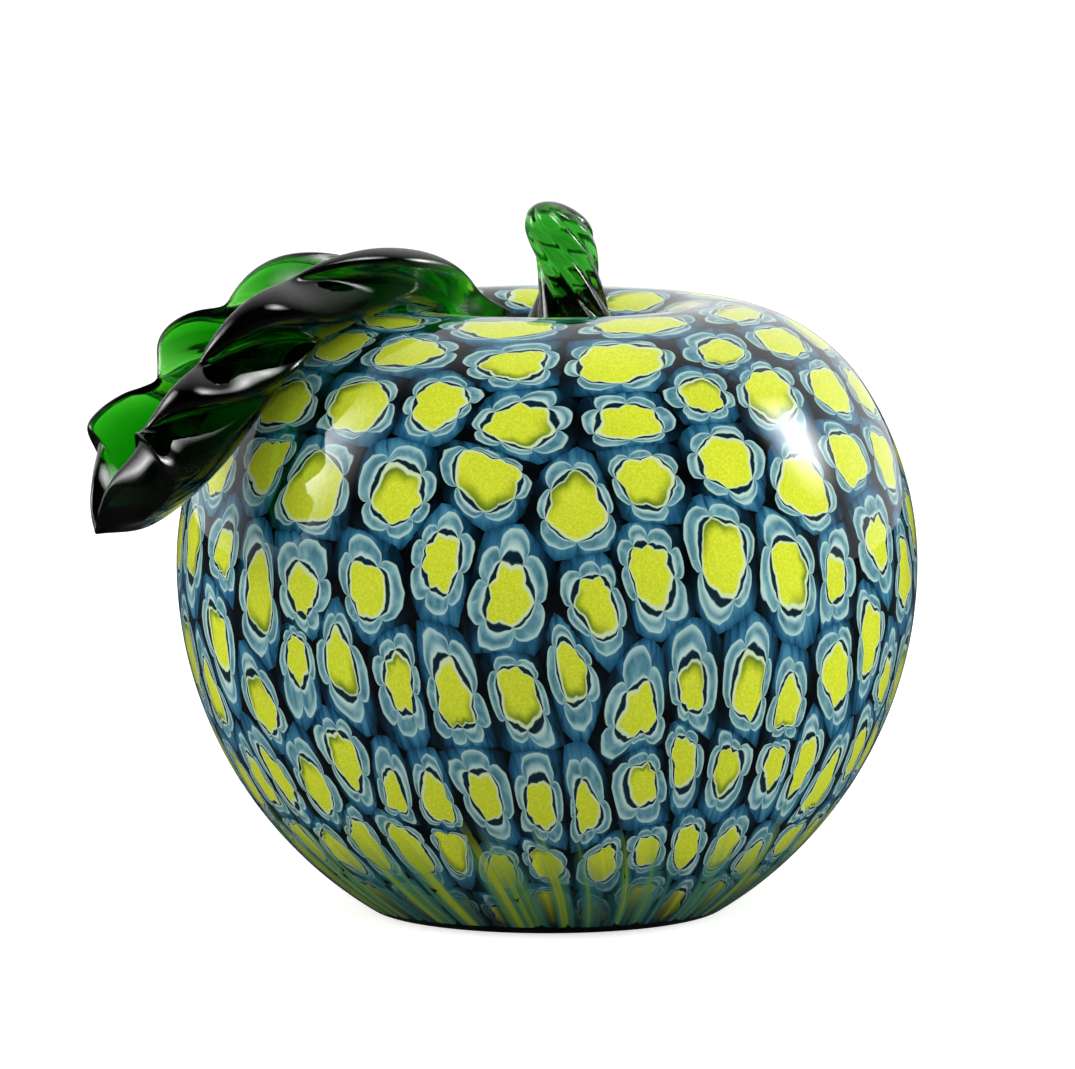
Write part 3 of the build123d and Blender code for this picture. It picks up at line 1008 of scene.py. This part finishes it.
# %% [markdown]
# ## Leaf
#
# The leaf is a fold of glass standing on its keel. The keel rises out of the dimple, lies over the
# shoulder and lifts away towards the tip. Two wings stand up from it, and a tool has pressed slanting veins
# into them, with a fat lobe between each two veins. It could be sculpted, but a rule is easier to change.
# The mesh is a tube of closed rings. Each ring runs up both wings along a vein and not straight across the
# leaf, so a vein is one clean line of the mesh. A few passes of smoothing then melt it, as the flame does.

# %% Keel of the leaf
LEAF_BEARING = math.radians(30.0)
CURVE_STEPS = 600
KEEL_STEPS = 300
KEEL_POINTS = np.array([
    (8.5, 87.9), (16.0, 91.2), (22.5, 93.9), (30.0, 93.8), (38.0, 91.1), (46.0, 85.0),
    (52.0, 78.2), (57.2, 72.3), (63.4, 67.3), (70.8, 63.5), (79.0, 63.2),
])


def smooth_through(points, shares):
    """A smooth curve through points, at shares of its length: position and direction."""
    steps = np.linalg.norm(np.diff(points, axis=0), axis=1)
    knots = np.concatenate([[0.0], np.cumsum(steps)])
    slopes = np.gradient(points, knots, axis=0)
    fine = np.linspace(0, knots[-1], CURVE_STEPS)
    span = np.clip(np.searchsorted(knots, fine, side="right") - 1, 0, len(points) - 2)
    width = (knots[span + 1] - knots[span])[:, None]
    u = (fine[:, None] - knots[span][:, None]) / width
    line = (
        (2 * u**3 - 3 * u**2 + 1) * points[span] + (u**3 - 2 * u**2 + u) * width * slopes[span]
        + (3 * u**2 - 2 * u**3) * points[span + 1] + (u**3 - u**2) * width * slopes[span + 1]
    )
    along, length = line_shares(line)
    spots = np.column_stack([np.interp(shares, along, line[:, k]) for k in (0, 1)])
    heading = np.gradient(spots, shares, axis=0)
    return spots, heading / np.linalg.norm(heading, axis=1)[:, None], length


keel_shares = np.linspace(0, 1, KEEL_STEPS)
keel_spots, keel_heading, keel_length = smooth_through(KEEL_POINTS, keel_shares)
print("keel:", round(keel_length, 1), "mm")

# %% Sizes of the wings
BASE_WING = 7.0
FULL_WING = 18.6
WING_GROWTH = 0.62
TIP_BLUNTNESS = 14.0
KEEL_THICKNESS = 6.2
BASE_VEIN_RUN = 16.0
BASE_SPREAD = 24.0
TIP_VEIN_RUN = 27.0
VEIN_STRETCH = (46.0, 70.0)
BASE_LOBE_RUN = 26.0
TIP_LOBE_RUN = 8.0
LOBE_LEAD = 0.75
BELLY_SHARE = 0.85
FACE_POINTS = 52
SOLE_POINTS = 9
NEAR_WING = {
    "side": 1.0, "lean": math.radians(20.0), "veins": (34.0, 50.2, 68.0), "pits": (0.5, 0.06, 0.24),
    "tall": 1.07, "notch": 0.17, "web": 2.8, "fat": 7.0, "wave": 1.4,
}
FAR_WING = {
    "side": -1.0, "lean": math.radians(34.0), "veins": (9.0, 23.4, 39.6, 53.1), "pits": (0.3, 0.3, 0.3, 0.3),
    "tall": 1.13, "notch": 0.23, "web": 2.4, "fat": 2.8, "wave": 1.8,
}


print("veins pressed into the wings:", len(NEAR_WING["veins"]), "and", len(FAR_WING["veins"]))


# %% Height, veins and lobes
def eased(x):
    """Soft step from 0 to 1."""
    x = np.clip(x, 0, 1)
    return x * x * (3 - 2 * x)


def wing_height(t):
    """Height of a wing's edge above the keel at a share of the leaf's length, in millimetres."""
    plain = BASE_WING + (FULL_WING - BASE_WING) * eased(t / WING_GROWTH)
    return plain * np.sqrt(np.maximum(1 - t**TIP_BLUNTNESS, 0.0))


def vein_run(run):
    """How far a vein that reaches the edge at a distance runs along the leaf: longest before the tip."""
    last = NEAR_WING["veins"][-1]
    start, stop = VEIN_STRETCH
    plain = BASE_VEIN_RUN + (TIP_VEIN_RUN - BASE_VEIN_RUN) * eased((run - start) / (stop - start))
    return plain * min(1.0, run / BASE_SPREAD, (keel_length - run) / (keel_length - last))


def lobe_swell(run, veins):
    """Swelling of a lobe: 0 on a vein, round between two veins and fattest near the first of them."""
    stops = np.array([veins[0] - BASE_LOBE_RUN, *veins, keel_length + TIP_LOBE_RUN])
    across = np.mod(np.interp(run, stops, np.arange(len(stops))), 1.0)
    return np.sin(np.pi * across**LOBE_LEAD)


# %% One wing along a vein
def wing_outline(run, wing):
    """Points of one wing along a vein line: share of the keel, way out and way up in millimetres."""
    u = np.linspace(0, 1, FACE_POINTS)
    turn = np.linspace(-math.pi / 2, -wing["lean"], SOLE_POINTS)[:-1]
    climb = np.concatenate([np.zeros(len(turn)), np.sin(np.pi * u)])
    face = np.concatenate([np.ones(len(turn)), np.cos(np.pi * u)])
    place = np.clip(run - vein_run(run) * (1 - climb), 0.0, keel_length)
    t = place / keel_length
    dip = wing["notch"] * (1 - lobe_swell(place, wing["veins"]))
    height = wing["tall"] * wing_height(t) * (1 - dip)
    heel = np.minimum(KEEL_THICKNESS / 2, 0.2 * height)
    web = np.minimum(wing["web"] / 2, 0.1 * height)
    lobes = eased((climb - np.interp(run, wing["veins"], wing["pits"])) / 0.2)
    belly = BELLY_SHARE * eased(climb / 0.2)
    swell = lobes * lobe_swell(run, wing["veins"]) + (1 - lobes) * belly
    swell = swell * eased((height - wing["tall"] * BASE_WING) / 7.0)
    outer = web + (heel - web) * (1 - climb) ** 2 + wing["fat"] * swell
    half = np.where(face > 0, outer, web) * np.sign(face) * np.abs(face) ** 0.55
    rise = climb * (height - heel)
    bulge = half + wing["wave"] * swell * climb
    sine, cosine = math.sin(wing["lean"]), math.cos(wing["lean"])
    inner = np.where(face > 0, 1.0, eased(climb / 0.45))
    out = inner * (rise * sine + bulge * cosine)
    up = inner * (heel + rise * cosine - bulge * sine) + (1 - inner) * 2 * heel
    sole = slice(0, len(turn))
    out[sole] = heel[sole] * np.cos(turn)
    up[sole] = heel[sole] * (1 + np.sin(turn))
    return np.column_stack([t, wing["side"] * out, up])


# %% A ring of the leaf: both wings, bent along the keel
def leaf_ring(run):
    """A closed ring of the leaf along the veins that reach the edge at one distance, in millimetres."""
    near = wing_outline(run, NEAR_WING)
    far = wing_outline(run, FAR_WING)
    t, out, up = np.vstack([near, far[:0:-1][1:]]).T
    reach, level = (np.interp(t, keel_shares, keel_spots[:, k]) for k in (0, 1))
    ahead, climb = (np.interp(t, keel_shares, keel_heading[:, k]) for k in (0, 1))
    ring = np.column_stack([up * climb - reach, -out, level + up * ahead])
    sine, cosine = math.sin(LEAF_BEARING), math.cos(LEAF_BEARING)
    ring[:, :2] = ring[:, :2] @ np.array([[cosine, sine], [-sine, cosine]])
    return ring


# %% Hot glass lies on the apple and not in it
GLASS_GAP = 0.03


def clear_of_apple(points, gap):
    """Moves points that lie inside the body out to its skin, in millimetres."""
    line = skin_line()
    radius = np.hypot(points[:, 0], points[:, 1])
    flat = np.column_stack([radius, points[:, 2]])
    nearest = np.argmin(np.linalg.norm(flat[:, None] - line[None], axis=2), axis=1)
    heading = np.gradient(line, axis=0)
    outward = np.column_stack([-heading[:, 1], heading[:, 0]])
    outward /= np.linalg.norm(outward, axis=1)[:, None]
    depth = np.sum((flat - line[nearest]) * outward[nearest], axis=1)
    lift = np.maximum(gap - depth, 0.0)[:, None] * outward[nearest]
    moved = flat + lift
    scale = moved[:, 0] / np.maximum(radius, 1e-6)
    return np.column_stack([points[:, 0] * scale, points[:, 1] * scale, moved[:, 1]])


# %% Close and melt a tube of rings
def tube_faces(rings, around):
    """Faces of a closed tube of rings with a point at each end."""
    faces = []
    for j in range(rings - 1):
        for k in range(around):
            after = (k + 1) % around
            faces.append((j * around + k, j * around + after, (j + 1) * around + after, (j + 1) * around + k))
    first, last = rings * around, rings * around + 1
    for k in range(around):
        after = (k + 1) % around
        faces.append((first, after, k))
        faces.append((last, (rings - 1) * around + k, (rings - 1) * around + after))
    return faces


def tube_piece(name, rings, finish, melts):
    """A closed tube piece from rings of points in millimetres, melted smooth and kept clear of the body."""
    rings = np.array(rings)
    ends = [rings[0].mean(axis=0), rings[-1].mean(axis=0)]
    points = np.vstack([rings.reshape(-1, 3), ends])
    piece = new_piece(name, points * MM, tube_faces(len(rings), rings.shape[1]))
    shell = bmesh.new()
    shell.from_mesh(piece.data)
    bmesh.ops.remove_doubles(shell, verts=shell.verts, dist=MERGE_DISTANCE)
    for _ in range(melts):
        bmesh.ops.smooth_vert(
            shell, verts=shell.verts, factor=0.5, use_axis_x=True, use_axis_y=True, use_axis_z=True,
        )
    melted = clear_of_apple(np.array([vert.co for vert in shell.verts]) / MM, GLASS_GAP) * MM
    for vert, spot in zip(shell.verts, melted):
        vert.co = spot
    bmesh.ops.recalc_face_normals(shell, faces=shell.faces)
    shell.to_mesh(piece.data)
    shell.free()
    piece.data.polygons.foreach_set("use_smooth", [True] * len(piece.data.polygons))
    piece.data.materials.append(finish)
    return piece


# %% The leaf: rings lie closer towards the tip, and the last one stops a hair before it
LEAF_RINGS = 320
LAST_RING = 0.494 * math.pi
LEAF_MELTS = 26

even_runs = keel_length * np.sin(np.linspace(0, LAST_RING, LEAF_RINGS))
leaf_runs = np.union1d(even_runs, NEAR_WING["veins"] + FAR_WING["veins"])
leaf = tube_piece("folded_leaf", [leaf_ring(run) for run in leaf_runs], leaf_glass, LEAF_MELTS)
print("leaf:", len(leaf.data.polygons), "faces")

# %% [markdown]
# ## Stem
#
# The stem is a rod of the same glass, drawn up from the dimple while it was twisted, then cut and rounded
# in the flame. Its foot spreads over the bowl of the dimple. The twist leaves narrow folds that wind down to
# the right. Broad flutes would only bend the light a little, but a narrow fold shows as a dark line.

# %% Outline of the stem
STEM_HEIGHT = 24.6
STEM_RADIUS = 4.0
STEM_FOOT_RADIUS = 10.8
STEM_HEAD_RADIUS = 5.0
STEM_OFFSET = 2.6
STEM_BOW = 1.4
STEM_LEAN = 2.4
STEM_FOOT_SHARE = 0.29
STEM_HEAD_SHARE = 0.84
STEM_HEAD_SPREAD = 0.2
CROWN_SHARE = 0.78
CROWN_SPREAD = 0.2205


def stem_radius(t):
    """Radius of the stem at a share of its height, in millimetres."""
    foot = (STEM_FOOT_RADIUS - STEM_RADIUS) * math.exp(-((t / STEM_FOOT_SHARE) ** 1.5))
    head = (STEM_HEAD_RADIUS - STEM_RADIUS) * math.exp(-(((t - STEM_HEAD_SHARE) / STEM_HEAD_SPREAD) ** 2))
    crown = math.sqrt(max(1.0 - (max(t - CROWN_SHARE, 0.0) / CROWN_SPREAD) ** 3, 0.0))
    return (STEM_RADIUS + foot + head) * crown


print("stem:", round(2 * stem_radius(0.5), 1), "mm thick half way up")

# %% Twist and fold the stem
STEM_TWIST = math.radians(-230.0)
STEM_FOLDS = 7
FOLD_DEPTH = 1.3
FOLD_WIDTH = 0.4
FOLD_MEAN = 0.8
STEM_ROOT = 1.0
STEM_RINGS = 110
STEM_AROUND = 140
STEM_MELTS = 4
dimple_height = rim_height - DIMPLE_DEPTH

stem_rings = []
around = 2 * math.pi * np.arange(STEM_AROUND) / STEM_AROUND
for k in range(STEM_RINGS):
    t = 1.0 - (1.0 - k / (STEM_RINGS - 1)) ** 1.6
    crease = np.abs(np.cos(STEM_FOLDS / 2 * (around - STEM_TWIST * t))) ** FOLD_WIDTH
    fold = FOLD_DEPTH * (crease - FOLD_MEAN) * min(1.0, 6 * (1 - t), 0.6 + 2 * t)
    reach = stem_radius(t) + fold
    lean = STEM_OFFSET + STEM_BOW * math.sin(math.pi * t) - STEM_LEAN * t**2.5
    level = dimple_height - STEM_ROOT + (STEM_HEIGHT + STEM_ROOT) * t
    stem_rings.append(np.column_stack([
        lean + reach * np.cos(around), reach * np.sin(around), np.full(STEM_AROUND, level),
    ]))
stem = tube_piece("twisted_stem", stem_rings, stem_glass, STEM_MELTS)
print("stem:", len(stem.data.polygons), "faces")

# %% [markdown]
# ## Light, floor and background
#
# The apple stands before a white sweep. Two soft boxes at the sides give the two highlights on its
# shoulders. Two fill lights and a big soft light in front show the colours. They are hidden from reflections,
# as a studio light behind a screen is, so that the dark glass stays dark. A small strip lamp above shines on
# the leaf and stem alone and puts the highlights on the lobes. The sweep and the floor are white to the eye
# and behind glass. In reflections the sweep is bright behind the apple and dim in front of it.

# %% Soft boxes
def soft_box(name, direction, distance, size, power, falloff, in_glass):
    """An area lamp that looks at the apple, brighter in its middle than at its edges."""
    lamp = bpy.data.lights.new(name, "AREA")
    lamp.shape = "RECTANGLE"
    lamp.size, lamp.size_y = size
    lamp.energy = power
    lamp.use_nodes = True
    tree = lamp.node_tree
    tree.nodes.clear()
    place = add(tree, "ShaderNodeNewGeometry")
    centred = add(
        tree, "ShaderNodeVectorMath", {"operation": "DISTANCE"},
        {0: place.outputs["Parametric"], 1: (0.5, 0.5, 0.0)},
    )
    fall = add(
        tree, "ShaderNodeMapRange", {},
        {"Value": centred.outputs["Value"], "From Min": 0.5, "From Max": 0.0},
    )
    soft = add(tree, "ShaderNodeMath", {"operation": "POWER"}, {0: fall.outputs[0], 1: falloff})
    light = add(tree, "ShaderNodeEmission", {}, {"Strength": soft.outputs[0]})
    add(tree, "ShaderNodeOutputLight", {}, {0: light.outputs[0]})
    box = bpy.data.objects.new(name, lamp)
    direction = np.array(direction) / np.linalg.norm(direction)
    middle = np.array([0.0, 0.0, EQUATOR_HEIGHT * MM])
    box.location = middle + direction * distance
    box.rotation_euler = Vector(-direction).to_track_quat("-Z", "Y").to_euler()
    box.visible_glossy = in_glass
    scene.collection.objects.link(box)
    return box


# %% Lamps: name, direction, distance and size in metres, power in watts, falloff, seen in reflections
soft_box("right_soft_box", (0.858, 0.178, 0.482), 0.9, (0.5, 0.6), 30.0, 2.6, True)
soft_box("left_soft_box", (-0.88, -0.02, 0.45), 0.9, (0.7, 1.0), 32.0, 2.2, True)
soft_box("right_fill", (1.0, -0.2, 0.1), 1.2, (1.2, 1.2), 38.0, 1.0, False)
soft_box("left_fill", (-1.0, -0.2, 0.1), 1.2, (1.2, 1.2), 34.0, 1.0, False)
soft_box("front_soft_light", (0.15, -0.75, 0.62), 1.2, (1.4, 1.2), 22.0, 1.0, False)
green_pieces = bpy.data.collections.new("green_pieces")
for piece in (leaf, stem):
    green_pieces.objects.link(piece)
strip = soft_box("leaf_strip_light", (0.3, -0.15, 0.94), 0.7, (0.4, 0.6), 13.0, 1.8, True)
strip.light_linking.receiver_collection = green_pieces

# %% World: white to the eye and behind glass, bright behind the apple and dim in front for reflections
ROOM_LIGHT = 0.52
DIM_FRONT = 0.01
world = bpy.data.worlds.new("white_sweep")
scene.world = world
world.use_nodes = True
sky = world.node_tree
sky.nodes.clear()
path = add(sky, "ShaderNodeLightPath")
way = add(sky, "ShaderNodeTexCoord")
split = add(sky, "ShaderNodeSeparateXYZ", {}, {0: way.outputs["Generated"]})
behind = add(
    sky, "ShaderNodeMapRange", {"interpolation_type": "SMOOTHSTEP"},
    {"Value": split.outputs["Y"], "From Min": -0.15, "From Max": 0.75, "To Min": DIM_FRONT, "To Max": 1.0},
)
seen = add(
    sky, "ShaderNodeMath", {"operation": "MAXIMUM"},
    {0: path.outputs["Is Camera Ray"], 1: path.outputs["Is Transmission Ray"]},
)
fill = add(
    sky, "ShaderNodeMix", {"data_type": "FLOAT"},
    {0: path.outputs["Is Glossy Ray"], 2: ROOM_LIGHT, 3: behind.outputs[0]},
)
strength = add(
    sky, "ShaderNodeMix", {"data_type": "FLOAT"}, {0: seen.outputs[0], 2: fill.outputs[0], 3: 1.0},
)
sweep = add(sky, "ShaderNodeBackground", {}, {"Color": linear("#FFFFFF"), "Strength": strength.outputs[0]})
add(sky, "ShaderNodeOutputWorld", {}, {0: sweep.outputs[0]})
print("light of the room:", ROOM_LIGHT)

# %% Floor: a pale board that keeps a soft shadow, and is dark in reflections as a room's floor is
FLOOR_SIZE = 6.0
FLOOR_DROP = 0.0002
FLOOR_GLOW = 0.6


def floor_board():
    """Matt white painted board, lifted to white for the eye so that only the shadow shows."""
    material, tree = new_material("white_painted_board")
    path = add(tree, "ShaderNodeLightPath")
    mirrored = add(
        tree, "ShaderNodeMath", {"operation": "SUBTRACT", "use_clamp": True},
        {0: path.outputs["Is Glossy Ray"], 1: path.outputs["Is Transmission Ray"]},
    )
    paint = add(
        tree, "ShaderNodeMix", {"data_type": "RGBA"},
        {0: mirrored.outputs[0], 6: linear("#E2E2E0"), 7: linear("#3C3C3C")},
    )
    matt = add(tree, "ShaderNodeBsdfDiffuse", {}, {"Color": paint.outputs[2]})
    straight = add(
        tree, "ShaderNodeMath", {"operation": "LESS_THAN"}, {0: path.outputs["Diffuse Depth"], 1: 0.5},
    )
    through = add(
        tree, "ShaderNodeMath", {"operation": "MULTIPLY"},
        {0: path.outputs["Is Transmission Ray"], 1: straight.outputs[0]},
    )
    seen = add(
        tree, "ShaderNodeMath", {"operation": "MAXIMUM"},
        {0: path.outputs["Is Camera Ray"], 1: through.outputs[0]},
    )
    glow = add(tree, "ShaderNodeMath", {"operation": "MULTIPLY"}, {0: seen.outputs[0], 1: FLOOR_GLOW})
    lift = add(tree, "ShaderNodeEmission", {}, {"Strength": glow.outputs[0]})
    both = add(tree, "ShaderNodeAddShader", {}, {0: matt.outputs[0], 1: lift.outputs[0]})
    add(tree, "ShaderNodeOutputMaterial", {}, {"Surface": both.outputs[0]})
    return material


half = FLOOR_SIZE / 2
floor = new_piece(
    "floor", [(-half, -half, 0.0), (half, -half, 0.0), (half, half, 0.0), (-half, half, 0.0)], [(0, 1, 2, 3)],
)
floor.location.z = -FLOOR_DROP
floor.data.materials.append(floor_board())
print("floor", FLOOR_SIZE, "m")

# %% [markdown]
# ## Pieces in place of the CAD nodes
#
# Every piece rides on the one body of the frame, and the CAD nodes that it stands for are hidden.

# %% Ride and replace
stands_for = [
    (casing, "clear_glass", ["clear_casing"]),
    (ground, "ground_glass", ["ground_bubble"]),
    (leaf, "leaf_glass", ["leaf"]),
    (stem, "stem_glass", ["stem"]),
]
for row, piece in murrine.items():
    nodes = [f"{kind}_row_{row}" for kind in ("mantles", "petals", "cores")]
    stands_for.append((piece, "petal_glass", nodes))
for piece, slot, nodes in stands_for:
    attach(piece, "root")
    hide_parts(*nodes)
